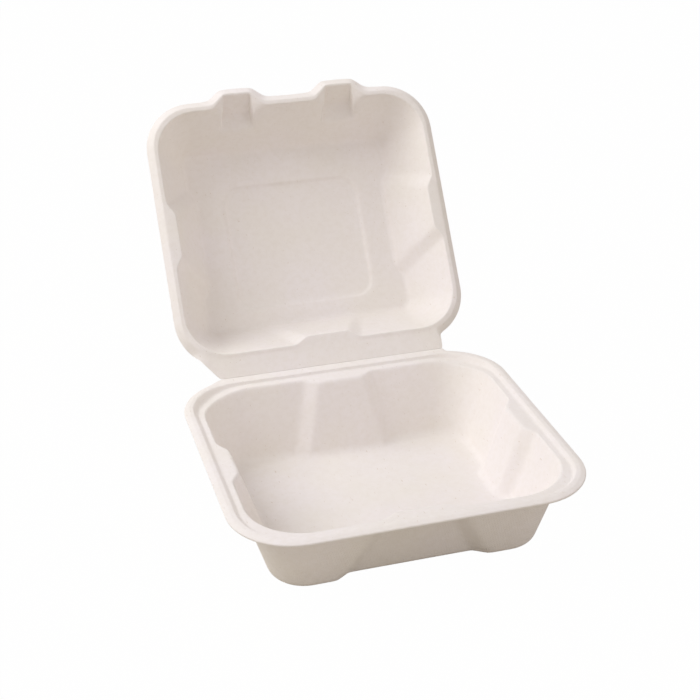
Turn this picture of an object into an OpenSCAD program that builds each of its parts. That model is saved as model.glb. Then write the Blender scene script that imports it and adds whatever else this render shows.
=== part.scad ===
// Hinged moulded-fibre food container, shown open.
// Two thin drafted trays with rounded corners share one fold at the back.
// The base stands on its floor, and the lid leans back from the fold.

/* [Base tray] */
// Width of the base over its rim, along the fold
base_w = 150; // [140:1:160]
// Depth of the base over its rim, from front to fold
base_d = 137.4; // [130:0.2:148]
// Height of the base, from floor to rim
base_h = 35; // [30:1:42]
// Corner radius of the base at the edge of its rim
base_r = 27.5; // [26:0.5:31]
// Corner radius of the base walls where they meet the step
base_wall_r = 24; // [22:0.5:26]
// Thickness of the base
base_t = 1.2; // [1:0.1:1.5]
// Inward lean of the base walls, for each millimetre of height
base_draft = 0.325; // [0.25:0.005:0.36]
// Radius inside the base between wall and floor
base_fillet = 4; // [3:0.5:6]

/* [Base rim] */
// Width of the outer band that droops
base_slope_w = 2.4; // [1.5:0.1:3]
// Drop of the outer band
base_droop = 0.6; // [0.4:0.1:1.2]
// Distance from the edge of the rim to the step that takes the lid
base_step_in = 4.6; // [4.2:0.1:5.4]
// Height of that step
base_step_h = 1.4; // [1:0.1:2]
// Distance from the edge of the rim to the top of the inner wall
base_wall_in = 8.7; // [8:0.1:9.5]

/* [Lid tray] */
// Width of the lid over its rim
lid_w = 140; // [132:0.2:141]
// Height of the lid, from rim to roof
lid_h = 28; // [24:0.5:29]
// Corner radius of the lid at the edge of its rim
lid_r = 22.5; // [20:0.5:24]
// Corner radius of the lid walls where they meet the rim
lid_wall_r = 19; // [18.5:0.5:21]
// Thickness of the lid
lid_t = 0.7; // [0.6:0.05:0.8]
// Inward lean of the lid walls, for each millimetre of height
lid_draft = 0.55; // [0.5:0.01:0.58]
// Inward lean of the panel next to the fold, less than the wall beside it
lid_back_draft = 0.44; // [0.43:0.01:0.49]
// Radius inside the lid between wall and roof
lid_fillet = 4.5; // [3:0.5:6]
// Gap seen from above between the front edges of base and lid when shut
lid_front_in = 5.2; // [5:0.1:7]
// Distance from the fold to the curved back edge of the lid rim
web_len = 6; // [5:0.2:8]

/* [Lid rim] */
// Width of the turned-down edge, seen from above
lid_skirt_w = 3.2; // [2.6:0.1:3.6]
// Depth of the turned-down edge
lid_skirt_h = 2.8; // [2.4:0.1:4]
// Width of the flat land inside the turned-down edge
lid_land_w = 2; // [1.8:0.1:3]
// Height of the small step below the land
lid_step_h = 1.2; // [0.8:0.1:1.6]

/* [Wall panels] */
// How far each base panel stands in from its wall
base_panel_in = 4.1; // [3:0.1:5]
// How far each lid panel stands in from its wall
lid_panel_in = 3.5; // [2.5:0.1:4.5]
// Half width of the back panel of the base at the rim
back_panel_rim = 12.8; // [10:0.2:15]
// Half width of the back panel of the base at the floor
back_panel_floor = 21.2; // [13:0.2:23]
// Half width of the front panel of the base at the rim
front_panel_rim = 12.8; // [12:0.2:17]
// Half width of the front panel of the base at the floor
front_panel_floor = 30.4; // [16:0.2:32]
// Half width of the side panels of the base at the rim
side_panel_rim = 12.6; // [9:0.2:14]
// Half width of the side panels of the base at the floor
side_panel_floor = 12.2; // [9:0.2:18]
// Half width of the lid panels at the rim
lid_panel_rim = 12.6; // [9:0.2:14]
// Half width of the lid panels at the roof
lid_panel_roof = 24; // [13:0.2:25]
// Width of the slanted side of a panel for each millimetre it stands in
panel_side_run = 1.4; // [0.8:0.05:1.5]

/* [Front tabs] */
// Half distance between the middles of the two tabs
tab_x = 25; // [22:0.2:26]
// Shift of both tabs from the middle of the lid, to the right
tab_shift = 1.2; // [0:0.1:2]
// Width of the tab pocket at its outer end
tab_end_w = 12.8; // [10:0.2:14]
// Distance from the edge of the lid rim to the outer end of the pocket, outward
tab_out = 1.2; // [0.6:0.1:1.8]
// Depth of the tab pocket at the foot of its outer wall
tab_h = 11.5; // [8:0.1:12.5]
// Inward lean of the outer wall of the pocket, for each millimetre of depth
tab_end_lean = 0.5; // [0.1:0.05:0.6]
// Fall of the pocket floor towards the lid wall, for each millimetre inward
tab_floor_fall = 0.25; // [0:0.05:0.3]
// Width of the rim that runs round the outside of a tab
tab_rim_w = 4.2; // [4:0.1:4.6]

/* [Roof] */
// Width of the raised square on the roof of the lid
square_w = 67; // [50:1:70]
// Depth of the raised square on the roof of the lid
square_d = 60; // [46:1:62]
// Shift of the raised square from the middle towards the fold
square_shift = 3.8; // [0:0.2:4.4]
// Height of the raised square
square_h = 1; // [0.6:0.1:1.4]
// Corner radius of the raised square
square_r = 8; // [5:0.5:12]

/* [Fold] */
// Half length of the fold between base and lid
fold_half = 54.5; // [50:0.5:57]
// Opening angle of the lid, zero when shut and 180 when flat
open_angle = 125.2; // [100:0.2:150]
// Gap left between base and lid at the fold
fold_gap = 0.3; // [0.2:0.05:0.4]

/* [Hidden] */
$fn = 88;
arc_steps = 6;
over = 1;
big = 200;
fibre = "#efe9e2";
tab_bay_h = 5;
tab_bay_lean = 1.25;
tab_foot = tab_out - tab_end_lean*tab_h;
hinge_y = base_d/2 + fold_gap/2;
hinge_z = base_h + fold_gap/2;
lid_d = base_d - lid_front_in - web_len;
lid_mid_y = -web_len - lid_d/2;
lid_land_in = lid_skirt_w + lid_land_w;
base_centre = base_wall_r + base_wall_in;
base_ang = atan(1/base_draft);
lid_ang = atan(1/lid_draft);
lid_centre = lid_wall_r + lid_land_in;
base_side_t = base_t/sin(base_ang);
lid_side_t = lid_t/sin(lid_ang);
skirt_ang = atan(lid_skirt_h/lid_skirt_w);
tab_pocket_in = lid_in(tab_h + 3) + 1;

// Inset of the inner wall line at a depth below the rim, for base and lid
function base_in(z) = base_wall_in + base_draft*(z - base_step_h);
function lid_in(z) = lid_land_in + 0.3 + lid_draft*(z - lid_step_h);

// Rounded corner between a leaning wall and a floor, from floor to wall
function round_foot(x, z, rad, ang) = [
    for (k = [0:arc_steps])
    [
        x - rad*tan(ang/2) + rad*sin(ang*k/arc_steps),
        z + rad - rad*cos(ang*k/arc_steps)
    ]
];

// Rim of the base with the step that takes the lid, x from the corner centre
base_rim = [
    [0, -base_step_h - base_t],
    [base_r - base_step_in + base_t/2, -base_step_h - base_t],
    [base_r - base_step_in + base_t/2, -base_t],
    [base_r - base_slope_w, -base_t],
    [base_r - 0.2, -base_droop - base_t],
    [base_r, -base_droop - base_t + 0.2],
    [base_r, -base_droop],
    [base_r - base_slope_w, 0],
    [0, 0]
];

// Outside of the base walls, their corners round a centre further in than the rim's
base_outer = concat(
    [[0, -base_h]],
    round_foot(base_centre - base_in(base_h) + base_side_t, -base_h, base_fillet + base_t, base_ang),
    [
        [base_centre - base_in(base_step_h) + base_side_t, -base_step_h],
        [0, -base_step_h]
    ]
);

// Recess in the rim of the base, down to its step
base_recess = [
    [0, -base_step_h],
    [base_r - base_step_in - 0.5, -base_step_h],
    [base_r - base_step_in, 0],
    [base_r - base_step_in, over],
    [0, over]
];

// Hollow of the base
base_inner = concat(
    [[0, -base_h + base_t]],
    round_foot(base_centre - base_in(base_h - base_t), -base_h + base_t, base_fillet, base_ang),
    [
        [base_centre - base_wall_in, -base_step_h],
        [base_centre - base_wall_in, 0],
        [0, 0]
    ]
);

// Rim of the lid as a closed outline, the lid drawn as a tray that opens upward
lid_rim = [
    [0, -lid_t],
    [lid_r - lid_skirt_w - lid_t*tan(skirt_ang/2), -lid_t],
    [lid_r - lid_t*sin(skirt_ang), -lid_skirt_h - lid_t*cos(skirt_ang)],
    [lid_r, -lid_skirt_h],
    [lid_r - lid_skirt_w, 0],
    [0, 0]
];

// Outside of the lid walls, their corners round a centre further in than the rim's
lid_outer = concat(
    [[0, -lid_h]],
    round_foot(lid_centre - lid_in(lid_h) + lid_side_t, -lid_h, lid_fillet + lid_t, lid_ang),
    [
        [lid_centre - lid_in(lid_step_h) + lid_side_t, -lid_step_h],
        [lid_centre - lid_land_in + lid_side_t, -lid_t],
        [lid_centre - lid_land_in + lid_side_t, 0],
        [0, 0]
    ]
);

// Hollow of the lid
lid_inner = concat(
    [[0, -lid_h + lid_t]],
    round_foot(lid_centre - lid_in(lid_h - lid_t), -lid_h + lid_t, lid_fillet, lid_ang),
    [
        [lid_centre - lid_land_in - 0.3, -lid_step_h],
        [lid_centre - lid_land_in, 0],
        [lid_centre - lid_land_in, over],
        [0, over]
    ]
);

// One straight side, its outline facing +X
module straight_side(len, out) {
    translate([out, len/2, 0])
    rotate([90, 0, 0])
    linear_extrude(len)
    children();
}

// Solid with rounded corners, from an outline that starts on the corner centre
module rounded_body(w, d, r, low, high) {
    for (k = [0:3]) {
        x = (k == 0 || k == 3) ? w/2 - r : r - w/2;
        y = (k < 2) ? d/2 - r : r - d/2;
        translate([x, y, 0])
        rotate([0, 0, 90*k])
        rotate_extrude(angle = 90)
        children();
    }
    for (k = [0, 2]) {
        rotate([0, 0, 90*k]) straight_side(d - 2*r, w/2 - r) children();
        rotate([0, 0, 90*k + 90]) straight_side(w - 2*r, d/2 - r) children();
    }
    translate([r - w/2, r - d/2, low]) cube([w - 2*r, d - 2*r, high - low]);
}

// Half space behind a plane with normal n, whose points p keep n*p below c
module half_space(n, c) {
    len = norm(n);
    translate(n*c/(len*len))
    rotate([0, acos(n[2]/len), atan2(n[1], n[0])])
    translate([-big, -big, -2*big])
    cube(2*big);
}

// Strip between a wall facing +X and its panel, along Y
// The outline runs round the foot of the moved wall and up to the rim
module panel_strip(half, wall_x, lean, top, low, rad, step) {
    foot = round_foot(wall_x - lean*low - step, -low, rad, atan(1/lean));
    edge = wall_x - lean*top + 0.3;
    translate([0, half, 0])
    rotate([90, 0, 0])
    linear_extrude(2*half)
    polygon(concat(
        [[foot[0][0], -low - over]],
        foot,
        [[wall_x - lean*top - step, -top]],
        [[edge, -top]],
        [[edge, -low - over]]
    ));
}

// Panel region: a strip between two slanted side planes
// The half widths hold halfway down the step, and grow moves the planes outward
module panel_region(rim, floor, depth, wall_x, lean, step, grow) {
    flare = (floor - rim)/depth;
    n = [-panel_side_run, 1, flare + panel_side_run*lean];
    c = rim - panel_side_run*(wall_x - step/2) + grow*norm(n);
    intersection() {
        children();
        half_space(n, c);
        half_space([n[0], -n[1], n[2]], c);
    }
}

// All four panels of the base, each wall turned to face +X
module base_panels(side_t, top, low, rad, grow) {
    rims = [side_panel_rim, back_panel_rim, side_panel_rim, front_panel_rim];
    floors = [side_panel_floor, back_panel_floor, side_panel_floor, front_panel_floor];
    for (k = [0:3]) {
        reach = ((k%2 == 0) ? base_w/2 : base_d/2) - base_in(0);
        rotate([0, 0, 90*k])
        panel_region(rims[k], floors[k], base_h, reach + base_side_t, base_draft, base_panel_in, grow)
        panel_strip(max(rims[k], floors[k]) + 10, reach + side_t, base_draft, top, low, rad, base_panel_in);
    }
}

module base() {
    color(fibre)
    translate([0, 0, base_h])
    difference() {
        union() {
            rounded_body(base_w, base_d, base_r, -base_step_h - base_t, 0) polygon(base_rim);
            rounded_body(base_w, base_d, base_centre, -base_h, -base_step_h) polygon(base_outer);
            fold_land();
        }
        base_panels(base_side_t, base_step_h + base_t, base_h, base_fillet + base_t, 0);
        rounded_body(base_w, base_d, base_r, -base_step_h, over) polygon(base_recess);
        difference() {
            rounded_body(base_w, base_d, base_centre, base_t - base_h, 0) polygon(base_inner);
            base_panels(0, base_step_h, base_h - base_t, base_fillet, base_t);
        }
    }
}

// Flat land at the back of the base rim, where the fold lies
module fold_land() {
    translate([-fold_half, base_d/2 - base_slope_w, -base_t])
    cube([2*fold_half, base_slope_w, base_t]);
}

// The three panels of the lid, none at the front between the tabs
module lid_panels(side_t, top, low, rad, grow) {
    for (k = [0:2]) {
        reach = ((k%2 == 0) ? lid_w/2 : lid_d/2) - lid_in(0);
        lean = (k == 1) ? lid_back_draft : lid_draft;
        rotate([0, 0, 90*k])
        panel_region(lid_panel_rim, lid_panel_roof, lid_h, reach + lid_side_t, lean, lid_panel_in, grow)
        panel_strip(lid_panel_roof + 8, reach + side_t, lean, top, low, rad, lid_panel_in);
    }
}

// Block narrowed towards the front by three planes, for the tab and its pocket
// The leans are how far the planes move outward for each millimetre of height
module tab_block(half, back, low, high, end_lean, side_lean, grow) {
    end_y = lid_d/2 + tab_out;
    end_c = end_y + grow*norm([1, end_lean]);
    side_c = (end_y + tab_end_w/2)/sqrt(2) + grow*norm([1, side_lean]);
    intersection() {
        translate([-half, -end_y - big/8, low]) cube([2*half, end_y + big/8 + back, high - low]);
        half_space([0, -1, end_lean], end_c);
        half_space([sqrt(0.5), -sqrt(0.5), side_lean], side_c);
        half_space([-sqrt(0.5), -sqrt(0.5), side_lean], side_c);
    }
}

// Places something at both tabs
module at_tabs() {
    for (x = [-tab_x, tab_x]) translate([tab_shift + x, 0, 0]) children();
}

// Edge of the rim that runs round the outside of a tab
module tab_edge(low, high, skin) {
    lean = lid_skirt_w/lid_skirt_h;
    land = tab_rim_w - lid_skirt_w;
    rim_back = lid_land_in - lid_side_t - 0.3 - lid_d/2;
    tab_block(big/8, rim_back, low, high, lean, lean, land/norm([1, lean]) - skin);
}

// Pocket behind a tab, open at the top
// A straight channel with a falling floor, and a shallow bay that widens it at the rim
module tab_pocket(high, grow) {
    half = tab_end_w/2 + tab_out + lid_land_in;
    bay_back = lid_land_in + 3 - lid_d/2;
    floor_n = [0, -tab_floor_fall, -1];
    floor_c = tab_h + tab_floor_fall*(lid_d/2 + tab_foot) + grow*norm(floor_n);
    intersection() {
        tab_block(tab_end_w/2 + grow, tab_pocket_in - lid_d/2, -2*tab_h, high, -tab_end_lean, 0, grow);
        half_space(floor_n, floor_c);
    }
    tab_block(half + grow, bay_back, -tab_bay_h - grow, high, -tab_end_lean, -tab_bay_lean, grow);
}

// Flat web from the fold to the land of the lid rim
module web() {
    fold_y = -lid_mid_y - fold_gap/2;
    land_y = lid_d/2 - lid_land_in;
    translate([-fold_half, land_y, -lid_t])
    cube([2*fold_half, fold_y - land_y, lid_t]);
}

// Square with rounded corners, centred
module rounded_square(w, d, r) {
    square([w - 2*r, d], center = true);
    square([w, d - 2*r], center = true);
    for (x = [-1, 1], y = [-1, 1]) translate([x*(w/2 - r), y*(d/2 - r)]) circle(r);
}

// Lid drawn as a tray that opens upward, centred on its rim
module lid_tray() {
    difference() {
        union() {
            difference() {
                union() {
                    difference() {
                        rounded_body(lid_w, lid_d, lid_r, -lid_t, 0) polygon(lid_rim);
                        translate([-fold_half, lid_d/2 - lid_skirt_w - 1.1, -lid_skirt_h - over])
                        cube([2*fold_half, lid_skirt_w + over + 1.1, lid_skirt_h + over - lid_t]);
                    }
                    rounded_body(lid_w, lid_d, lid_centre, -lid_h, 0) polygon(lid_outer);
                    web();
                    at_tabs() tab_edge(-lid_skirt_h, 0, 0);
                }
                at_tabs() tab_edge(-lid_skirt_h - over, -lid_t, lid_t);
                lid_panels(lid_side_t, lid_t, lid_h, lid_fillet + lid_t, 0);
            }
            at_tabs() tab_pocket(0, lid_t);
            translate([0, square_shift, -lid_h - square_h])
            linear_extrude(square_h + lid_t)
            rounded_square(square_w + 2*lid_t, square_d + 2*lid_t, square_r + lid_t);
        }
        difference() {
            rounded_body(lid_w, lid_d, lid_centre, lid_t - lid_h, over) polygon(lid_inner);
            lid_panels(0, 0, lid_h - lid_t, lid_fillet, lid_t);
        }
        at_tabs() tab_pocket(over, 0);
        translate([0, square_shift, lid_t - lid_h - square_h])
        linear_extrude(square_h + over)
        rounded_square(square_w, square_d, square_r);
    }
}

module lid() {
    color(fibre)
    translate([0, hinge_y, hinge_z])
    rotate([-open_angle, 0, 0])
    translate([0, lid_mid_y, fold_gap/2])
    mirror([0, 0, 1])
    lid_tray();
}

base();
lid();
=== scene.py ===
# %% [markdown]
# # An open food box of moulded plant fibre
# The object is a shallow tray and a lid, pressed from one wet sheet of sugar cane fibre between two
# heated tools, and joined by a crease along the back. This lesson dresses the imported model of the
# box: it loads the plain solids, makes both trays again as smooth thin shells with rounded edges,
# gives them the dull, slightly mottled finish of pressed fibre, and lights them softly.

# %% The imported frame
import math

import bpy
import numpy as np
from mathutils import Matrix, Vector


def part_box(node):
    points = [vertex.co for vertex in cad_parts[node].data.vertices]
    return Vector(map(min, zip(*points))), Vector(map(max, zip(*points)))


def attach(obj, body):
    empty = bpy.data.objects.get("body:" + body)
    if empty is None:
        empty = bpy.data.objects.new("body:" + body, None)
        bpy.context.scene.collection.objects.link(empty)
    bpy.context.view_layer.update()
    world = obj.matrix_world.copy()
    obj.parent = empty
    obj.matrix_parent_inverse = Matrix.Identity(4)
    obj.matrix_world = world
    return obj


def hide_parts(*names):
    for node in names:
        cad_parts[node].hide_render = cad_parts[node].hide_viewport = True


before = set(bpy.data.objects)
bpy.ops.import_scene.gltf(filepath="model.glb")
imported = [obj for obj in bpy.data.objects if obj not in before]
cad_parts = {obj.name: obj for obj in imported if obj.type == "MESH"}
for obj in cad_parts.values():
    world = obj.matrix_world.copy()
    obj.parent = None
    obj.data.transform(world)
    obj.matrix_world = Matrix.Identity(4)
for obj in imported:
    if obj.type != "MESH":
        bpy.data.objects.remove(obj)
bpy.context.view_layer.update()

MM = 0.001
base_low, base_high = [np.array(corner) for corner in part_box("base")]
lid_low, lid_high = [np.array(corner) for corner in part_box("lid")]
print("base box", base_low, base_high)
print("lid box", lid_low, lid_high)

# %% [markdown]
# ## The camera
# The photograph was taken from the front left, looking down on the box through a fairly long lens.
# A camera can be turned by hand until it looks right, but it is easier to repeat when it is worked
# out: it stands at a turn, a height angle and a distance from the middle of the fold, and it is then
# aimed a little right of and above the fold, where the middle of the photograph lies.

# %% Camera
view_turn = math.radians(15.68)
view_down = math.radians(27.395)
view_roll = math.radians(-0.728)
view_distance = 0.6659
image_px = 700
lens_px = 1430.5
aim_right_px = 17.29
aim_up_px = 14.1
sensor_mm = 36.0
nearest_seen = 0.01

fold_middle = Vector((0.0, float(base_high[1]), float(base_high[2])))


def camera_axes():
    """Right, up and forward of a camera that looks along +Y, turned to the right and then down."""
    forward = Vector((math.sin(view_turn) * math.cos(view_down),
                      math.cos(view_turn) * math.cos(view_down),
                      -math.sin(view_down)))
    level = Vector((math.cos(view_turn), -math.sin(view_turn), 0.0))
    upright = level.cross(forward)
    right = level * math.cos(view_roll) + upright * math.sin(view_roll)
    up = upright * math.cos(view_roll) - level * math.sin(view_roll)
    return right, up, forward


def add_camera():
    """A camera at the viewing distance, its axis moved from the fold to the middle of the image."""
    right, up, forward = camera_axes()
    place = fold_middle - forward * view_distance
    aim = (forward * lens_px + right * aim_right_px + up * aim_up_px).normalized()
    right = (right - aim * right.dot(aim)).normalized()
    up = right.cross(aim)
    lens = bpy.data.cameras.new("camera")
    lens.sensor_width = sensor_mm
    lens.lens = lens.sensor_width * lens_px / image_px
    lens.clip_start = nearest_seen
    camera = bpy.data.objects.new("camera", lens)
    turn = Matrix((right, up, -aim)).transposed().to_4x4()
    camera.matrix_world = Matrix.Translation(place) @ turn
    bpy.context.scene.collection.objects.link(camera)
    bpy.context.scene.camera = camera
    return camera


camera = add_camera()
print("camera at", camera.matrix_world.translation)

# %% [markdown]
# ## The shape as rows and columns
# Both trays are pressed from one sheet, so each is one skin of even thickness. It could be modelled
# by hand with loops and bevels, but every line on it runs round the tray, so it is easier to compute.
# The surface is a grid. A column starts at the rim at one place round the tray and runs down the wall
# to the middle of the floor. A row is one line round the tray. A column knows where it starts and in
# which direction it looks outward, and a row only has to say how far out and how high it lies.

# %% Curves that round off corners
def s_curve(x):
    """3x^2 - 2x^3 for x between 0 and 1: it leaves 0 and reaches 1 with no slope."""
    x = np.clip(x, 0.0, 1.0)
    return x*x*(3.0 - 2.0*x)


def soft_min(a, b, width):
    """The smaller of a and b with a rounded corner: half of a + b - root((a - b)^2 + width^2)."""
    return 0.5*(a + b - np.sqrt((a - b)**2 + width**2))


def soft_max(a, b, width):
    """The larger of a and b, rounded in the same way."""
    return -soft_min(-a, -b, width)


def soft_ramp(x, width):
    """x held between 0 and 1, with both corners rounded over a width."""
    return soft_max(soft_min(x, 1.0, width), 0.0, width)


print("s_curve in fifths:", s_curve(np.linspace(0, 1, 6)).round(3))

# %% Columns that crowd where the shape needs them
crowd_samples = 4001


def crowded(low, high, step, places, near, share):
    """Places from low up to high, a step apart but closer beside those that need it.

    The density 1 + share * sum of exp(-((u - place) / near)^2) is added up along the way, and the
    columns stand where that sum passes equal steps.
    """
    u = np.linspace(low, high, crowd_samples)
    density = 1.0 + share*np.sum(np.exp(-((u[:, None] - np.array(places))/near)**2), axis=1)
    total = np.concatenate([[0.0], np.cumsum((density[1:] + density[:-1])/2)])*(u[1] - u[0])
    count = 2*round(total[-1]/step/2)
    return np.interp(np.arange(count)/count*total[-1], total, u)


print("places 1 mm apart that crowd at 5:", crowded(0.0, 10.0, 1.0, (5.0,), 1.0, 2.0).round(1))

# %% Columns round a tray
RIGHT, BACK, LEFT, FRONT, CORNER = range(5)
column_step = 0.9
tab_near = 1.6
tab_crowding = 2.2
fan_step = math.radians(4.0)
fold_near = 0.07
fold_crowding = 3.0
fold_half = 54.5


def tray_columns(width, depth, centre_in, fold_y, front_places):
    """Where the columns of a tray start, how they look outward, and their place along a side.

    On a straight side they all look the same way. In a corner they fan out from its centre, which
    lies centre_in from both edges of the rim. They crowd beside the ends of the fold, and at the
    front beside the named places.
    """
    half = np.array([width, depth])/2 - centre_in
    fold_turn = math.atan2(fold_half - half[0], fold_y - half[1])
    fan_places = {RIGHT: (math.pi/2 - fold_turn,), BACK: (fold_turn,), LEFT: (), FRONT: ()}
    origin, turn, along, side, fan = [], [], [], [], []
    for k in (RIGHT, BACK, LEFT, FRONT):
        out = np.array([math.cos(k*math.pi/2), math.sin(k*math.pi/2)]).round()
        left = np.array([-out[1], out[0]])
        reach = abs(left @ half)
        corner = out*abs(out @ half) + left*reach
        places = front_places if k == FRONT else ()
        u = crowded(-reach, reach, column_step, places, tab_near, tab_crowding)
        bend = crowded(0.0, math.pi/2, fan_step, fan_places[k], fold_near, fold_crowding)
        origin += [out*abs(out @ half) + u[:, None]*left, np.repeat(corner[None], len(bend), axis=0)]
        turn += [np.full(len(u), k*math.pi/2), k*math.pi/2 + bend]
        along += [u, np.full(len(bend), reach)]
        side += [np.full(len(u), k), np.full(len(bend), CORNER)]
        fan += [np.zeros(len(u)), bend]
    turn = np.concatenate(turn)
    return {"origin": np.concatenate(origin), "out": np.stack([np.cos(turn), np.sin(turn)], axis=1),
            "along": np.concatenate(along), "side": np.concatenate(side), "fan": np.concatenate(fan),
            "centre_in": centre_in}


print("columns round a 100 mm square:", len(tray_columns(100.0, 100.0, 20.0, 50.0, ())["fan"]))

# %% Rows on those columns
def rim_reach(columns, corner_r, inset):
    """Distance from the start of each column to a rounded outline that lies inset inside the rim.

    On a straight side it is centre_in - inset. In a corner whose radius is smaller than the walls'
    own, the column first meets the straight edge, at that distance over the larger of cosine and
    sine, and then the arc, where b + root(radius^2 - 2 shift^2 + b^2) solves the circle's equation.
    """
    centre_in = columns["centre_in"]
    shift = centre_in - corner_r
    cosine, sine = np.cos(columns["fan"]), np.sin(columns["fan"])
    big, small = np.maximum(cosine, sine), np.minimum(cosine, sine)
    straight = (centre_in - inset)/big
    b = shift*(cosine + sine)
    arc = b + np.sqrt(np.maximum((corner_r - inset)**2 - 2*shift**2 + b**2, 0.0))
    return np.where((centre_in - inset)*small/big <= shift, straight, arc)


def by_side(columns, right, back, left, front, corner):
    """One value for each column, chosen by the side that it stands on."""
    return np.array([right, back, left, front, corner], float)[columns["side"]]


def place_rows(columns, reach, height):
    """Points of the grid, rows by columns: start + outward direction * reach, at a height."""
    flat = columns["origin"] + columns["out"]*reach[..., None]
    return np.concatenate([flat, height[..., None]], axis=-1)


def rows_between(first, last, count):
    """Straight rows from one row towards another, the last one left out. A row is (reach, height)."""
    share = (np.arange(count)/count)[:, None]
    return [a + (b - a)*share for a, b in zip(first, last)]


print("rows between 0 and 8:", rows_between((0.0, 0.0), (8.0, 8.0), 4)[0].ravel())

# %% [markdown]
# ## Wall panels
# Each wall has a shallow panel that stands in from it, with a slanted strip on either side. It
# stiffens the wall and shows as a notch where it meets the rim. The panel could be a second mesh cut
# in with a boolean, but here it is only a number: how much further in the wall lies at each point.

# %% Panels and feet
def panel_inset(columns, half_rim, half_floor, step, run, share, soft):
    """How far the panels push each point inward, at a share of the depth from 0 (rim) to 1 (floor).

    Half the panel's width goes evenly from half_rim to half_floor. The push is step times a soft ramp
    that rises over run millimetres for each millimetre of step, with its middle on the half width.
    """
    half = half_rim + (half_floor - half_rim)*share
    slope = run*step
    return step*soft_ramp((half + slope/2 - np.abs(columns["along"]))/slope, soft/slope)


def foot_rows(inset, height, radius, lean, count):
    """Insets and heights of the round foot between a leaning wall and the floor, wall first.

    The wall would meet the floor at inset. The arc starts radius * tan(angle / 2) further in and
    bends through the wall's angle.
    """
    angle = math.atan(1/lean)
    bend = angle*(1 - np.arange(count + 1)/count)[:, None]
    insets = inset + radius*math.tan(angle/2) - radius*np.sin(bend)
    heights = height + radius - radius*np.cos(bend) + 0*inset
    return insets, heights


print("heights up a foot of radius 1:", foot_rows(0.0, 0.0, 1.0, 0.3, 4)[1].ravel().round(2))

# %% [markdown]
# ## From rows to a closed skin
# The rows give only the upper face. A Solidify modifier could add the thickness, but at the steps of
# the rim its offset would fold over itself. Here the face is first blurred a little, which rounds
# every edge as pressing does. Its normals are then blurred much more, and the lower face is the upper
# one moved along them. Five more rows close the edge of the sheet with a half circle.

# %% Blur and normals
tiny = 1e-9


def blur(points, down, around):
    """Each point becomes half of itself and a quarter of both neighbours.

    This runs so many times down the columns, whose ends stay, and so many times around the rows.
    """
    points = points.copy()
    for _ in range(down):
        points[1:-1] = 0.25*points[:-2] + 0.5*points[1:-1] + 0.25*points[2:]
    for _ in range(around):
        points = 0.25*np.roll(points, 1, 1) + 0.5*points + 0.25*np.roll(points, -1, 1)
    return points


def grid_normals(points, down, around):
    """Unit normals from the cross product of the two grid directions, blurred and made unit again."""
    across = np.roll(points, -1, 1) - np.roll(points, 1, 1)
    normals = np.cross(across, np.gradient(points, axis=0))
    normals /= np.maximum(np.linalg.norm(normals, axis=-1, keepdims=True), tiny)
    normals = blur(normals, down, around)
    return normals/np.maximum(np.linalg.norm(normals, axis=-1, keepdims=True), tiny)


print("a spike, blurred once:", blur(np.eye(5)[2][:, None, None], 1, 0).ravel())

# %% Offset and edge
crisp_share = 0.1
round_rows = 5


def close_skin(inner, thickness, round_edge, normal_blur):
    """Rows of a closed skin: lower face from the middle out, rounded edge, upper face back in.

    One more row at crisp_share of the first step keeps the cut at the fold crisp. The lower face is
    inner - thickness * normal. Between the two edges, a row at share s of a half turn lies at their
    mean plus half their difference * cosine, and half a thickness * sine outward. round_edge is that
    bulge's share for each column.
    """
    inner = np.concatenate([inner[:1], inner[:1] + crisp_share*(inner[1:2] - inner[:1]), inner[1:]])
    normals = grid_normals(inner, *normal_blur)
    outer = inner - thickness*normals
    outward = inner[0] - inner[2]
    outward -= normals[0]*np.sum(outward*normals[0], axis=-1, keepdims=True)
    outward /= np.linalg.norm(outward, axis=-1, keepdims=True)
    turn = (np.arange(1, round_rows + 1)/(round_rows + 1)*math.pi)[:, None, None]
    middle, half = (outer[0] + inner[0])/2, (outer[0] - inner[0])/2
    bulge = thickness/2*round_edge[:, None]*outward
    edge = middle + half*np.cos(turn) + bulge*np.sin(turn)
    return np.concatenate([outer[::-1], edge, inner]), len(outer)


print("the edge is closed by", round_rows, "rows")

# %% Mesh and piece
CUBIC_CM = 1e6


def skin_mesh(name, rows, outer_rows, low_pole, high_pole, flip):
    """A closed mesh of the rows, joined round and capped at both poles, in metres.

    The first outer_rows are the lower face, and the underside attribute is 1 there. A skin that was
    mirrored has its faces turned round again by flip.
    """
    count_rows, count_columns = rows.shape[:2]
    points = np.concatenate([rows.reshape(-1, 3), [low_pole, high_pole]])*MM
    index = np.arange(count_rows*count_columns).reshape(count_rows, count_columns)
    beside = np.roll(index, -1, 1)
    quads = np.stack([index[:-1], beside[:-1], beside[1:], index[1:]], axis=-1).reshape(-1, 4)
    low, high = count_rows*count_columns, count_rows*count_columns + 1
    low_cap = np.stack([beside[0], index[0], np.full(count_columns, low)], axis=-1)
    high_cap = np.stack([index[-1], beside[-1], np.full(count_columns, high)], axis=-1)
    caps = np.concatenate([low_cap, high_cap])
    if flip:
        quads, caps = quads[:, ::-1], caps[:, ::-1]
    mesh = bpy.data.meshes.new(name)
    mesh.from_pydata(points.tolist(), [], quads.tolist() + caps.tolist())
    mesh.polygons.foreach_set("use_smooth", np.ones(len(mesh.polygons), bool))
    underside = np.zeros(len(points), np.float32)
    underside[:outer_rows*count_columns] = 1.0
    underside[low] = 1.0
    mesh.attributes.new("underside", "FLOAT", "POINT").data.foreach_set("value", underside)
    mesh.update()
    return mesh


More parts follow.
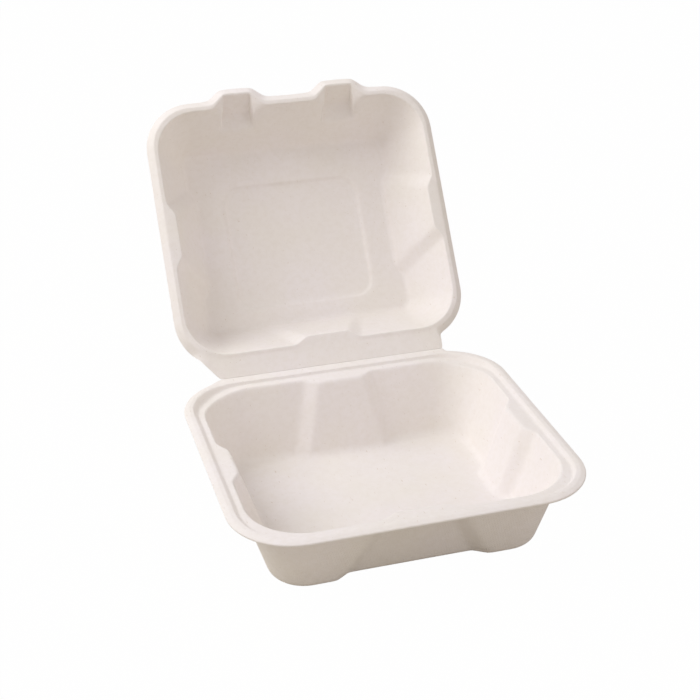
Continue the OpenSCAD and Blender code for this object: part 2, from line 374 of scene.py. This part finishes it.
def mesh_volume(mesh):
    """Signed volume in cubic centimetres: the sum of a . (b x c) / 6 over the triangles."""
    mesh.calc_loop_triangles()
    corners = np.empty(len(mesh.loop_triangles)*3, np.int32)
    mesh.loop_triangles.foreach_get("vertices", corners)
    places = np.empty(len(mesh.vertices)*3)
    mesh.vertices.foreach_get("co", places)
    a, b, c = places.reshape(-1, 3)[corners].reshape(-1, 3, 3).transpose(1, 0, 2)
    return float(np.sum(a*np.cross(b, c))/6*CUBIC_CM)


def add_piece(mesh, body, node):
    """Puts a mesh into the scene as the piece that stands for a node of the frame."""
    piece = bpy.data.objects.new(mesh.name, mesh)
    bpy.context.scene.collection.objects.link(piece)
    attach(piece, body)
    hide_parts(node)
    print(mesh.name, "triangles", len(mesh.loop_triangles), "volume cm3", round(mesh_volume(mesh), 1))
    return piece


# %% [markdown]
# ## From the rim to the fold
# Along the back both rims run on, flat, until they meet at the crease. At its right end the edge
# turns back to the rim in a small round, and at its left end it was cut at a slant. The strip could
# be a piece of its own, but the sheet is one, so the same columns just reach further out there.

# %% Reach to the fold
fold_half_left = 53.0
fold_rise = 0.15
fold_clear = 0.05
fold_fillet = 1.5
fold_fillet_left = 0.3
slant_trim = 40.0
least_out = 0.05
level_over = 0.7
no_web = -99.0


def reach_to_fold(columns, rim, fold_y, left_slant):
    """Reach of each column's edge, 1 for the columns that end at the fold, and how level each is.

    A column that looks back stops fold_clear short of the fold line, after
    (fold_y - fold_clear - start) / out across the back. It meets the line through the end of the fold
    after n . (end - start) / (n . out), where n is that line's normal, turned by left_slant at the
    left. The nearer of the two counts. A column that looks less far back than n does loses
    slant_trim * (angle between them)^2, so that the slanted line runs out into the rim. The rim's own
    reach counts where it is larger, with a fillet between them. The edge is level, 1, where it stands
    out past the rim by level_over or more.
    """
    start, out = np.abs(columns["origin"]), np.abs(columns["out"])
    to_line = (fold_y - fold_clear - start[:, 1])/np.maximum(out[:, 1], least_out)
    at_left = columns["out"][:, 0] < 0
    slant = np.where(at_left, left_slant, 0.0)
    normal = np.stack([np.cos(slant), np.sin(slant)], axis=1)
    end = np.stack([np.where(at_left, fold_half_left, fold_half), 0*slant + fold_y], axis=1)
    to_end = np.sum(normal*(end - start), axis=1)/np.maximum(np.sum(normal*out, axis=1), least_out)
    before = np.maximum(slant - np.arctan2(out[:, 1], out[:, 0]), 0.0)
    back = (columns["origin"][:, 1] > 0) & (columns["out"][:, 1] > least_out)
    web = np.where(back, np.minimum(to_line, to_end) - slant_trim*before**2, no_web)
    at_fold = (back & (to_line <= to_end)).astype(float)
    fillet = np.where(at_left, fold_fillet_left, fold_fillet)
    beside = np.where(back, np.minimum(soft_max(web, rim, fillet), to_line), rim)
    return np.where(at_fold > 0, to_line, beside), at_fold, s_curve((web - rim)/level_over)


print("the fold runs from", -fold_half_left, "to", fold_half, "mm")

# %% [markdown]
# ## Base tray
# The base has a rim that droops at its edge and stays flat at the fold, a small step in which the
# closed lid rests, and walls that lean outward so that boxes stack. The step is steep at the front
# and back, slopes more on the left and right, and lies deeper in the two back corners, where the
# walls are a little fuller too. Cuts and bevels could give each of these, but every one is a smooth
# change round the tray, so the sine and cosine of a column's direction set its size.

# %% Base tray rows
panel_run = 1.4
panel_soft = 0.7
no_panel = -50.0

base_size = {
    "w": 150.0, "d": 137.4, "h": 35.0, "r": 27.5, "wall_r": 24.0, "wall_in": 8.7, "t": 1.2,
    "lean": 0.325, "foot": 4.0, "slope": 2.4, "droop": 0.6, "left_slant": math.radians(61.4),
    "step_in": 4.6, "step_shift": 0.3, "step_run": (0.5, 1.7, 1.0), "step_h": 1.4,
    "corner_h": 1.4, "corner_out": 1.2, "panel_in": 4.1,
    "panel_rim": (12.6, 12.8, 12.6, 12.8), "panel_floor": (12.2, 21.2, 12.2, 30.4),
    "rim_rows": (6, 6, 5, 7), "wall_rows": 24, "foot_rows": 9, "floor_rows": 18,
    "normal_blur": (6, 2)}


def base_rows(size):
    """Upper face of the base from the rim's edge to the middle of the floor, rim at height zero.

    With s and c the sine and cosine of a column's direction, the step runs over
    end_run * s^2 + side_run * c^2 + corner_run * (2 s c)^2, and the last term counts at the back
    only. The same (2 s c)^2 deepens the step there and moves the wall out, most at the rim.
    """
    fold_y = size["d"]/2 + fold_rise
    columns = tray_columns(size["w"], size["d"], size["wall_r"] + size["wall_in"], fold_y, ())
    flat = np.zeros(len(columns["fan"]))
    rim = rim_reach(columns, size["r"], flat + size["t"]/2)
    edge_reach, at_fold, level = reach_to_fold(columns, rim, fold_y, size["left_slant"])
    half_rim = by_side(columns, *size["panel_rim"], no_panel)
    half_floor = by_side(columns, *size["panel_floor"], no_panel)
    floor_z = size["t"] - size["h"]
    cosine, sine = columns["out"].T
    end_run, side_run, corner_run = size["step_run"]
    corner = (2*sine*cosine)**2*(sine > 0)
    step_run = end_run*sine**2 + side_run*cosine**2 + corner_run*corner
    step_in = flat + size["step_in"] - size["step_shift"]*(step_run - end_run)
    step_h = size["step_h"] + size["corner_h"]*corner

    def wall(z):
        """Reach of the inner wall at a height below the rim, with its panels."""
        push = panel_inset(columns, half_rim, half_floor, size["panel_in"], panel_run,
                           -z/size["h"], panel_soft)
        fuller = size["corner_out"]*corner*(1 + z/size["h"])**2
        return size["wall_r"] - size["lean"]*(-z - size["step_h"]) - push + fuller

    marks = [
        (edge_reach, -size["droop"]*(1 - level) + fold_rise*at_fold),
        (rim_reach(columns, size["r"], flat + size["slope"]), flat),
        (rim_reach(columns, size["r"], step_in), flat),
        (rim_reach(columns, size["r"], step_in + step_run), -step_h),
        (wall(-step_h), -step_h),
    ]
    parts = [rows_between(a, b, n) for a, b, n in zip(marks, marks[1:], size["rim_rows"])]
    bend = math.atan(1/size["lean"])
    foot_top = floor_z + size["foot"]*(1 - math.cos(bend))
    z = np.linspace(-step_h, foot_top + 0*flat, size["wall_rows"] + 1)[:-1]
    parts.append([wall(z), z])
    foot = foot_rows(-wall(floor_z), floor_z, size["foot"], size["lean"], size["foot_rows"])
    parts.append([-foot[0], foot[1]])
    reach, height = [np.concatenate(rows) for rows in zip(*parts)]
    rows = place_rows(columns, reach, height)
    share = (np.arange(1, size["floor_rows"] + 1)/(size["floor_rows"] + 1))[:, None, None]
    middle = np.array([0.0, 0.0, floor_z])
    rows = np.concatenate([rows, rows[-1] + (middle - rows[-1])*share])
    return rows, middle, level


print("base grid, rows by columns:", base_rows(base_size)[0].shape[:2])

# %% Base tray
def build_base(size):
    """The base as a closed skin, stood on its floor."""
    rows, middle, level = base_rows(size)
    rows = blur(rows, 1, 1)
    skin, outer_rows = close_skin(rows, size["t"], 1 - level, size["normal_blur"])
    lift = np.array([0.0, 0.0, size["h"]])
    under = middle - [0.0, 0.0, size["t"]]
    return skin_mesh("base_tray", skin + lift, outer_rows, under + lift, middle + lift, False)


base_piece = add_piece(build_base(base_size), "base", "base")

# %% [markdown]
# ## Lid tray
# The lid is drawn as a tray that opens upward, like the base, and is turned over afterwards. Its rim
# turns down at the edge as a short skirt. At the front two tabs stand out, each with a pocket pressed
# behind it whose mouth widens into a shallow bay. At the back the land runs on as a flat web to the
# fold, and the head of the back wall is a low ridge. Each tab could be a mesh of its own joined to
# the rim, but then its wall would need matching by hand. Here it is one more outline of the same
# columns, and where two outlines cross, the outer one counts, with its corner rounded.

# %% Lid outlines
lid_size = {
    "w": 140.0, "d": 126.2, "h": 27.55, "r": 22.5, "wall_r": 19.0, "t": 0.7, "lean": 0.55,
    "back_lean": 0.44, "foot": 3.0, "skirt_w": 3.2, "skirt_h": 2.8, "land_w": 2.0,
    "step_in": 0.3, "step_h": 1.2, "web": 6.0, "left_slant": math.radians(38.8),
    "ridge": 0.8, "ridge_from": 0.3, "ridge_over": 0.55, "ridge_land": 0.45, "brow_w": 0.7,
    "panel_in": 3.5, "panel_rim": (12.6, 12.6, 12.6, no_panel),
    "panel_roof": (24.0, 24.0, 24.0, no_panel),
    "skirt_rows": 8, "land_rows": 6, "brow_rows": 2, "pocket_rows": 15, "shelf_rows": 8,
    "wall_rows": 12, "foot_rows": 9, "normal_blur": (5, 2)}
tab = {
    "x": 25.0, "shift": 1.2, "end_w": 12.8, "out": 1.2, "h": 11.5, "rim_w": 4.2, "end_lean": 0.5,
    "floor_fall": 0.25, "bay_lean": 1.25, "channel_slope": 8.0, "edge_soft": 1.6,
    "land_soft": 1.3, "pocket_soft": 0.5, "mouth_soft": 0.6}
lip_side = tab["end_w"]/2 + tab["out"]
far_off = 99.0


def tab_outline(across, end, inner, sideways, width):
    """Outward distance of an outline: along inner, out at 45 degrees, and along end round a tab."""
    return soft_max(soft_min(end, sideways - across, width), inner, width)


def pocket_out(across, z):
    """Outward distance of a pocket's walls at a height below the rim.

    The outer wall leans in by end_lean for each millimetre of depth. Beside the channel, the lip at
    45 degrees draws in by root 2 times bay_lean, which makes the shallow bay.
    """
    end = tab["out"] + tab["end_lean"]*z
    bay = lip_side - across + math.sqrt(2)*tab["bay_lean"]*z
    channel = tab["out"] + tab["channel_slope"]*(tab["end_w"]/2 - across)
    return soft_min(end, soft_max(bay, channel, tab["pocket_soft"]), tab["pocket_soft"])


print("a tab's edge, at its middle and beside it:",
      tab_outline(np.array([0.0, 12.0]), tab["out"], 0.0, lip_side, tab["edge_soft"]).round(2))

# %% Lid tray rows
def lid_rows(size):
    """Inner face of the lid from the rim's edge to the foot of its walls, rim at height zero.

    The rows run over the skirt, the land and the ridge, down the pockets or the wall, across the
    pockets' falling floors, and down the rest of the wall to its foot. A pocket's floor ends where
    tab h + floor_fall * (wall_in + lean * depth - foot_in) is the depth.
    """
    land_in = size["skirt_w"] + size["land_w"]
    sides = [tab["shift"] + tab["x"]*k + tab["end_w"]/2*j for k in (-1, 1) for j in (-1, 1)]
    fold_y = size["d"]/2 + size["web"]
    columns = tray_columns(size["w"], size["d"], size["wall_r"] + land_in, fold_y, sides)
    flat = np.zeros(len(columns["fan"]))
    half_rim = by_side(columns, *size["panel_rim"], no_panel)
    half_roof = by_side(columns, *size["panel_roof"], no_panel)
    gain = by_side(columns, 0.0, size["lean"] - size["back_lean"], 0.0, 0.0, 0.0)
    roof_z = size["t"] - size["h"]
    front = columns["side"] == FRONT
    across = np.where(front, np.abs(np.abs(columns["along"] - tab["shift"]) - tab["x"]), far_off)
    lip = tab["rim_w"] - size["skirt_w"]
    edge_out = tab_outline(across, tab["out"] + lip + size["skirt_w"], 0.0,
                           lip_side + math.sqrt(2)*(lip + size["skirt_w"]), tab["edge_soft"])
    land_out = tab_outline(across, tab["out"] + lip, -size["skirt_w"],
                           lip_side + math.sqrt(2)*lip, tab["land_soft"])

    def wall(z):
        """Reach of the inner wall at a height below the rim, with its panels."""
        push = panel_inset(columns, half_rim, half_roof, size["panel_in"], panel_run,
                           -z/size["h"], panel_soft)
        push = np.maximum(push + gain*z*push/size["panel_in"], 0.0)
        step = size["step_in"]*s_curve(-z/size["step_h"])
        return size["wall_r"] - step - size["lean"]*np.maximum(-z - size["step_h"], 0.0) - push

    def opened(z):
        """Reach of the wall or of the pocket, whichever lies further out."""
        pocket = size["wall_r"] + land_in + pocket_out(across, z)
        return soft_max(wall(z), pocket, tab["mouth_soft"]*front)

    rim = rim_reach(columns, size["r"], size["t"]/2 - edge_out)
    edge_reach, at_fold, level = reach_to_fold(columns, rim, fold_y, size["left_slant"])
    ridge = size["ridge"]*s_curve((columns["out"][:, 1] - size["ridge_from"])/size["ridge_over"])
    skirt = (edge_reach, -size["skirt_h"]*(1 - level) + fold_rise*at_fold)
    land = (rim_reach(columns, size["r"], -land_out), ridge*size["ridge_land"])
    brow = (opened(flat) + size["brow_w"], ridge)
    parts = [rows_between(skirt, land, size["skirt_rows"]), rows_between(land, brow, size["land_rows"]),
             rows_between(brow, (opened(flat), ridge), size["brow_rows"])]
    z = -tab["h"]*(np.arange(size["pocket_rows"])/size["pocket_rows"])[:, None] + 0*flat
    parts.append([opened(z), z + ridge*(1 + z/tab["h"])])
    foot_in = tab["end_lean"]*tab["h"] - tab["out"]
    wall_in = land_in + size["step_in"] - size["lean"]*size["step_h"]
    shelf_end = (tab["h"] + tab["floor_fall"]*(wall_in - foot_in))/(1 - tab["floor_fall"]*size["lean"])
    shelf = (opened(flat - tab["h"]), flat - tab["h"]), (wall(flat - shelf_end), flat - shelf_end)
    parts.append(rows_between(*shelf, size["shelf_rows"]))
    bend = math.atan(1/size["lean"])
    foot_top = roof_z + size["foot"]*(1 - math.cos(bend))
    z = np.linspace(-shelf_end, foot_top, size["wall_rows"] + 1)[:-1, None]
    parts.append([wall(z), z + 0*flat])
    foot = foot_rows(-wall(flat + roof_z), roof_z, size["foot"], size["lean"], size["foot_rows"])
    parts.append([-foot[0], foot[1]])
    reach, height = [np.concatenate(rows) for rows in zip(*parts)]
    return place_rows(columns, reach, height), level


print("lid wall grid, rows by columns:", lid_rows(lid_size)[0].shape[:2])

# %% [markdown]
# ## The raised square
# A low square with round corners stiffens the roof, and in the open lid it catches one bright line
# along its edge. It could be extruded from the roof's faces, but they are the ends of the columns, so
# the columns are bent to it instead: three rings of points say where each one meets the square's
# foot, its top edge and its middle, and straight rows join them.

# %% Raised square
square = {"w": 67.0, "d": 60.0, "shift": 3.8, "h": 1.5, "r": 8.0, "slope": 1.6, "rows": (7, 5, 14)}


def round_box_reach(angle, half_w, half_d, corner_r):
    """Distance from the middle of a box with round corners to its outline, in a given direction.

    It is the nearer of half_w / cosine and half_d / sine, or in a corner b + root(b^2 - x^2 - y^2 +
    corner_r^2), where (x, y) is the middle of the corner's arc and b = x * cosine + y * sine.
    """
    cosine, sine = np.abs(np.cos(angle)), np.abs(np.sin(angle))
    flat = np.minimum(half_w/np.maximum(cosine, tiny), half_d/np.maximum(sine, tiny))
    x, y = half_w - corner_r, half_d - corner_r
    b = x*cosine + y*sine
    arc = b + np.sqrt(np.maximum(b*b - x*x - y*y + corner_r**2, 0.0))
    return np.where((flat*cosine > x) & (flat*sine > y), arc, flat)


def roof_rows(last, roof_z):
    """Rows from the foot of the walls over the raised square to the middle of the roof.

    Each point of the last row looks at the middle of the square, and its column meets the square's
    outline in that direction. Between rings the points move in straight lines.
    """
    middle = np.array([0.0, square["shift"], roof_z])
    way = last - middle
    angle = np.arctan2(way[:, 1], way[:, 0])
    look = np.stack([np.cos(angle), np.sin(angle), 0*angle], axis=1)
    rings = [last]
    for grow, drop in ((square["slope"]/2, 0.0), (-square["slope"]/2, square["h"])):
        reach = round_box_reach(angle, square["w"]/2 + grow, square["d"]/2 + grow, square["r"] + grow)
        rings.append(middle + look*reach[:, None] - [0.0, 0.0, drop])
    centre = middle - [0.0, 0.0, square["h"]]
    rings.append(np.repeat(centre[None], len(last), axis=0))
    rows = []
    for first, then, count in zip(rings, rings[1:], square["rows"]):
        share = (np.arange(1, count + 1)/count)[:, None, None]
        rows.append(first + (then - first)*share)
    return np.concatenate(rows)[:-1], centre


print("reach of the square, straight and at 45 degrees:",
      round_box_reach(np.radians([0.0, 45.0]), square["w"]/2, square["d"]/2, square["r"]).round(1))

# %% [markdown]
# ## Opening the lid
# The lid stands open on its fold, further back than upright. An object could simply be rotated, but a
# finished piece sits at the origin, unturned, with its place in its mesh, so the points themselves
# are turned. The mirror that makes a tray into a lid also turns its faces inside out, and they are
# turned round again when the mesh is made.

# %% Lid tray
open_angle = math.radians(125.2)


def turn_lid(points, size):
    """From the tray that opens upward to the opened lid.

    The points are mirrored in height, moved until the fold lies on the axis, and turned about it by
    the opening angle a: y becomes y cos a + z sin a, and z becomes z cos a - y sin a.
    """
    shut = points*[1.0, 1.0, -1.0] + [0.0, -size["web"] - size["d"]/2, fold_rise]
    cosine, sine = math.cos(-open_angle), math.sin(-open_angle)
    turn = np.array([[1, 0, 0], [0, cosine, sine], [0, -sine, cosine]])
    return shut @ turn + [0.0, base_size["d"]/2 + fold_rise, base_size["h"] + fold_rise]


def build_lid(size):
    """The lid as a closed skin, standing open on its fold."""
    wall_rows, level = lid_rows(size)
    roof, centre = roof_rows(wall_rows[-1], size["t"] - size["h"])
    rows = blur(np.concatenate([wall_rows, roof]), 1, 1)
    skin, outer_rows = close_skin(rows, size["t"], 1 - level, size["normal_blur"])
    under = centre - [0.0, 0.0, size["t"]]
    skin = turn_lid(skin, size)
    poles = turn_lid(np.array([under, centre]), size)
    return skin_mesh("lid_tray", skin, outer_rows, poles[0], poles[1], True)


lid_piece = add_piece(build_lid(lid_size), "lid", "lid")

# %% [markdown]
# ## Pressed fibre
# Moulded fibre is matt and almost white. Close up it has a fine grain where fibres lie across each
# other, a few straw coloured flecks, and a slow drift of tone where the pulp lay thicker. The lower
# face keeps the faint weave of the wire screen that it was formed on. A photograph of the sheet could
# be wrapped round it, but all of this is built from noise on object coordinates, so nothing is
# painted, nothing is stretched, and nothing slides when the lid turns.

# %% Small node helpers
def link(tree, out_socket, in_socket):
    """Joins two sockets."""
    tree.links.new(out_socket, in_socket)


def noise(tree, place, scale, detail, roughness=0.5):
    """A noise of a given scale per metre on a place."""
    node = tree.nodes.new("ShaderNodeTexNoise")
    node.inputs["Scale"].default_value = scale
    node.inputs["Detail"].default_value = detail
    node.inputs["Roughness"].default_value = roughness
    link(tree, place, node.inputs["Vector"])
    return node.outputs["Fac"]


def math_node(tree, operation, a, b):
    """One arithmetic step on two sockets or numbers."""
    node = tree.nodes.new("ShaderNodeMath")
    node.operation = operation
    for slot, value in enumerate((a, b)):
        if isinstance(value, (int, float)):
            node.inputs[slot].default_value = value
        else:
            link(tree, value, node.inputs[slot])
    return node.outputs[0]


def span(tree, value, low, high, to_low, to_high):
    """Maps a range of values to another, held at its ends."""
    node = tree.nodes.new("ShaderNodeMapRange")
    node.inputs["From Min"].default_value = low
    node.inputs["From Max"].default_value = high
    node.inputs["To Min"].default_value = to_low
    node.inputs["To Max"].default_value = to_high
    link(tree, value, node.inputs["Value"])
    return node.outputs["Result"]


def mix_colour(tree, share, a, b):
    """Colour a where share is 0 and b where it is 1; each is a socket or a plain colour."""
    node = tree.nodes.new("ShaderNodeMix")
    node.data_type = "RGBA"
    link(tree, share, node.inputs[0])
    for socket, value in ((node.inputs[6], a), (node.inputs[7], b)):
        if isinstance(value, tuple):
            socket.default_value = (*value, 1.0)
        else:
            link(tree, value, socket)
    return node.outputs[2]


print("helpers for noise, arithmetic, ranges and colours are ready")

# %% Short fibres and the screen's weave
def stretched(tree, place, turn, stretch):
    """A place turned about all axes and squeezed along one, so noise on it draws short fibres."""
    node = tree.nodes.new("ShaderNodeMapping")
    node.inputs["Rotation"].default_value = turn
    node.inputs["Scale"].default_value = (1.0, stretch, 1.0)
    link(tree, place, node.inputs["Vector"])
    return node.outputs["Vector"]


def weave(tree, place, rate):
    """Sum of the products of each pair of the sines of x, y and z, at a rate per metre.

    On a wall that lies along two of the axes it is a small square weave.
    """
    parts = tree.nodes.new("ShaderNodeSeparateXYZ")
    link(tree, place, parts.inputs[0])
    angles = [math_node(tree, "MULTIPLY", parts.outputs[k], rate) for k in range(3)]
    sines = [math_node(tree, "SINE", angle, 0.0) for angle in angles]
    pairs = [math_node(tree, "MULTIPLY", sines[k], sines[(k + 1) % 3]) for k in range(3)]
    return math_node(tree, "ADD", math_node(tree, "ADD", pairs[0], pairs[1]), pairs[2])


screen_rate = 5600.0
print("threads of the screen are", round(2*math.pi/screen_rate/MM, 2), "mm apart")

# %% Fibre finish
fibre_warm = (0.875, 0.835, 0.785)
fibre_cool = (0.885, 0.842, 0.822)
fibre_thin = (0.80, 0.745, 0.68)
fleck_brown = (0.56, 0.45, 0.33)
# A noise is its scale per metre, its detail and, for the mottle, its roughness. A span is the range
# of values that is used and the range that it becomes.
drift_noise, drift_span = (28.0, 2.0), (0.35, 0.65, 0.0, 1.0)
mottle_noise, mottle_span = (420.0, 4.0, 0.6), (0.4, 0.75, 0.0, 0.35)
fleck_noise, fleck_span, fleck_squeeze = (1100.0, 1.0), (0.74, 0.8, 0.0, 0.35), 0.25
fleck_turns = ((0.6, 0.1, 0.9), (1.4, 0.8, 2.2))
strand_noise, rough_span, strand_squeeze = (1500.0, 2.0), (0.4, 0.8, 0.93, 0.78), 0.14
strand_turns = ((0.2, 0.5, 0.3), (1.1, 0.2, 1.5), (0.4, 1.3, 2.4))
pulp_noise, grain_noise = (160.0, 3.0), (2600.0, 3.0)
strand_high, pulp_high, grain_high, screen_high = 0.05, 0.18, 0.03, 0.02
bump_strength, bump_distance = 0.8, 0.001
fibre_specular = 0.28


def fibre_colour(tree, place):
    """Warm to cool in a slow drift, then a mottle of thinner pulp, then brown flecks."""
    drift = span(tree, noise(tree, place, *drift_noise), *drift_span)
    mottle = span(tree, noise(tree, place, *mottle_noise), *mottle_span)
    fleck_places = [stretched(tree, place, turn, fleck_squeeze) for turn in fleck_turns]
    flecks = [span(tree, noise(tree, turned, *fleck_noise), *fleck_span) for turned in fleck_places]
    colour = mix_colour(tree, drift, fibre_warm, fibre_cool)
    colour = mix_colour(tree, mottle, colour, fibre_thin)
    return mix_colour(tree, math_node(tree, "MAXIMUM", *flecks), colour, fleck_brown)


def fibre_height(tree, place, strand):
    """Height for the bump: strands, pulp, grain, and the screen's weave on the lower face."""
    underside = tree.nodes.new("ShaderNodeAttribute")
    underside.attribute_name = "underside"
    screen = math_node(tree, "MULTIPLY", weave(tree, place, screen_rate), underside.outputs["Fac"])
    layers = ((noise(tree, place, *pulp_noise), pulp_high),
              (noise(tree, place, *grain_noise), grain_high), (screen, screen_high))
    height = math_node(tree, "MULTIPLY", strand, strand_high)
    for layer, high in layers:
        height = math_node(tree, "ADD", height, math_node(tree, "MULTIPLY", layer, high))
    return height


def fibre_finish():
    """Matt pressed fibre: its colour, and strands that make it rougher or smoother and stand up."""
    finish = bpy.data.materials.new("pressed_fibre")
    finish.use_nodes = True
    tree = finish.node_tree
    shader = tree.nodes["Principled BSDF"]
    place = tree.nodes.new("ShaderNodeTexCoord").outputs["Object"]
    link(tree, fibre_colour(tree, place), shader.inputs["Base Color"])
    strands = [noise(tree, stretched(tree, place, turn, strand_squeeze), *strand_noise)
               for turn in strand_turns]
    strand = math_node(tree, "MAXIMUM", math_node(tree, "MAXIMUM", strands[0], strands[1]), strands[2])
    link(tree, span(tree, strand, *rough_span), shader.inputs["Roughness"])
    shader.inputs["Specular IOR Level"].default_value = fibre_specular
    bump = tree.nodes.new("ShaderNodeBump")
    bump.inputs["Strength"].default_value = bump_strength
    bump.inputs["Distance"].default_value = bump_distance
    link(tree, fibre_height(tree, place, strand), bump.inputs["Height"])
    link(tree, bump.outputs["Normal"], shader.inputs["Normal"])
    return finish


pressed_fibre = fibre_finish()
for piece in (base_piece, lid_piece):
    piece.data.materials.append(pressed_fibre)
for node_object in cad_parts.values():
    node_object.data.materials.clear()
    node_object.data.materials.append(pressed_fibre)
print("finish", pressed_fibre.name, "with", len(pressed_fibre.node_tree.nodes), "nodes")

# %% [markdown]
# ## World light
# The photograph is a product cut-out on white, lit from all around. An even world would leave every
# wall the same tone, so this one is a little brighter toward the horizon, and brighter still at the
# front right, where it opens up the shaded walls. Where it is seen directly it is plain white.

# %% World light
world_light = 0.36
horizon_light = 0.29
fill_light = 0.36
fill_way = Vector((1.0, -1.0, 0.3))
fill_power = 2.0
world_colour = (1.0, 0.942, 0.925, 1.0)
plain_white = (1.0, 1.0, 1.0, 1.0)


def seen_directly(tree):
    """1 for camera, glossy and transmitted rays, and 0 for rays that only carry light."""
    path = tree.nodes.new("ShaderNodeLightPath")
    seen = math_node(tree, "MAXIMUM", path.outputs["Is Camera Ray"], path.outputs["Is Glossy Ray"])
    return math_node(tree, "MAXIMUM", seen, path.outputs["Is Transmission Ray"])


def two_faced(tree, share, carried, shown, out):
    """Joins a shader that carries light and one that is shown where share is 1 to an output."""
    mix = tree.nodes.new("ShaderNodeMixShader")
    link(tree, share, mix.inputs[0])
    link(tree, carried.outputs[0], mix.inputs[1])
    link(tree, shown.outputs[0], mix.inputs[2])
    link(tree, mix.outputs[0], out.inputs["Surface"])


def light_strength(tree):
    """world_light + horizon_light * (1 - z^2) + fill_light * max(d . fill, 0)^2 for a direction d."""
    direction = tree.nodes.new("ShaderNodeTexCoord").outputs["Generated"]
    parts = tree.nodes.new("ShaderNodeSeparateXYZ")
    link(tree, direction, parts.inputs[0])
    z_squared = math_node(tree, "MULTIPLY", parts.outputs[2], parts.outputs[2])
    level = math_node(tree, "SUBTRACT", 1.0, z_squared)
    towards = tree.nodes.new("ShaderNodeVectorMath")
    towards.operation = "DOT_PRODUCT"
    towards.inputs[1].default_value = fill_way.normalized()
    link(tree, direction, towards.inputs[0])
    facing = math_node(tree, "MAXIMUM", towards.outputs["Value"], 0.0)
    fill = math_node(tree, "MULTIPLY", math_node(tree, "POWER", facing, fill_power), fill_light)
    strength = math_node(tree, "ADD", math_node(tree, "MULTIPLY", level, horizon_light), fill)
    return math_node(tree, "ADD", strength, world_light)


def make_world():
    """World light with the strength above, plain white where it is seen directly."""
    world = bpy.data.worlds.new("studio")
    world.use_nodes = True
    tree = world.node_tree
    tree.nodes.clear()
    lit = tree.nodes.new("ShaderNodeBackground")
    lit.inputs["Color"].default_value = world_colour
    link(tree, light_strength(tree), lit.inputs["Strength"])
    white = tree.nodes.new("ShaderNodeBackground")
    white.inputs["Color"].default_value = plain_white
    two_faced(tree, seen_directly(tree), lit, white, tree.nodes.new("ShaderNodeOutputWorld"))
    bpy.context.scene.world = world
    return world


world = make_world()
print("world", world.name, "is", world_light, "straight up, and", horizon_light, "more level")

# %% [markdown]
# ## Floor and lamp
# A floor that is almost plain white where the camera sees it keeps the background clean, and the
# small share of its own diffuse part still takes the soft shadow of the box. More light could also
# turn a grey floor white, but it would wash out the box. One broad lamp at the upper left draws the
# rims and the steps.

# %% Floor
floor_half = 3.0
floor_glow = 0.99
floor_colour = (0.55, 0.51, 0.42, 1.0)


def make_floor():
    """A flat sheet at height zero whose finish is mostly plain white to the camera."""
    mesh = bpy.data.meshes.new("floor")
    corners = [(-floor_half, -floor_half, 0), (floor_half, -floor_half, 0),
               (floor_half, floor_half, 0), (-floor_half, floor_half, 0)]
    mesh.from_pydata(corners, [], [(0, 1, 2, 3)])
    floor = bpy.data.objects.new("floor", mesh)
    bpy.context.scene.collection.objects.link(floor)
    finish = bpy.data.materials.new("floor_white")
    finish.use_nodes = True
    tree = finish.node_tree
    tree.nodes.clear()
    matt = tree.nodes.new("ShaderNodeBsdfDiffuse")
    matt.inputs["Color"].default_value = floor_colour
    glow = tree.nodes.new("ShaderNodeEmission")
    glow.inputs["Strength"].default_value = 1.0
    share = math_node(tree, "MULTIPLY", seen_directly(tree), floor_glow)
    two_faced(tree, share, matt, glow, tree.nodes.new("ShaderNodeOutputMaterial"))
    mesh.materials.append(finish)
    return floor


floor = make_floor()
print("floor of", 2*floor_half, "m with the finish", floor.data.materials[0].name)

# %% Lamp
key_watts = 10.0
key_colour = (0.95, 0.965, 1.0)
key_place = Vector((-0.8, 0.25, 0.95))
key_size = 0.9


def add_key(place, size, watts):
    """A square lamp at a place, turned to face the middle of the fold."""
    lamp = bpy.data.lights.new("key", "AREA")
    lamp.size = size
    lamp.energy = watts
    lamp.color = key_colour
    holder = bpy.data.objects.new("key", lamp)
    holder.location = place
    holder.rotation_euler = (fold_middle - place).to_track_quat("-Z", "Y").to_euler()
    bpy.context.scene.collection.objects.link(holder)
    return holder


key = add_key(key_place, key_size, key_watts)
bpy.context.scene.view_settings.view_transform = "Standard"
print("one lamp of", key.data.energy, "watts over a white floor")
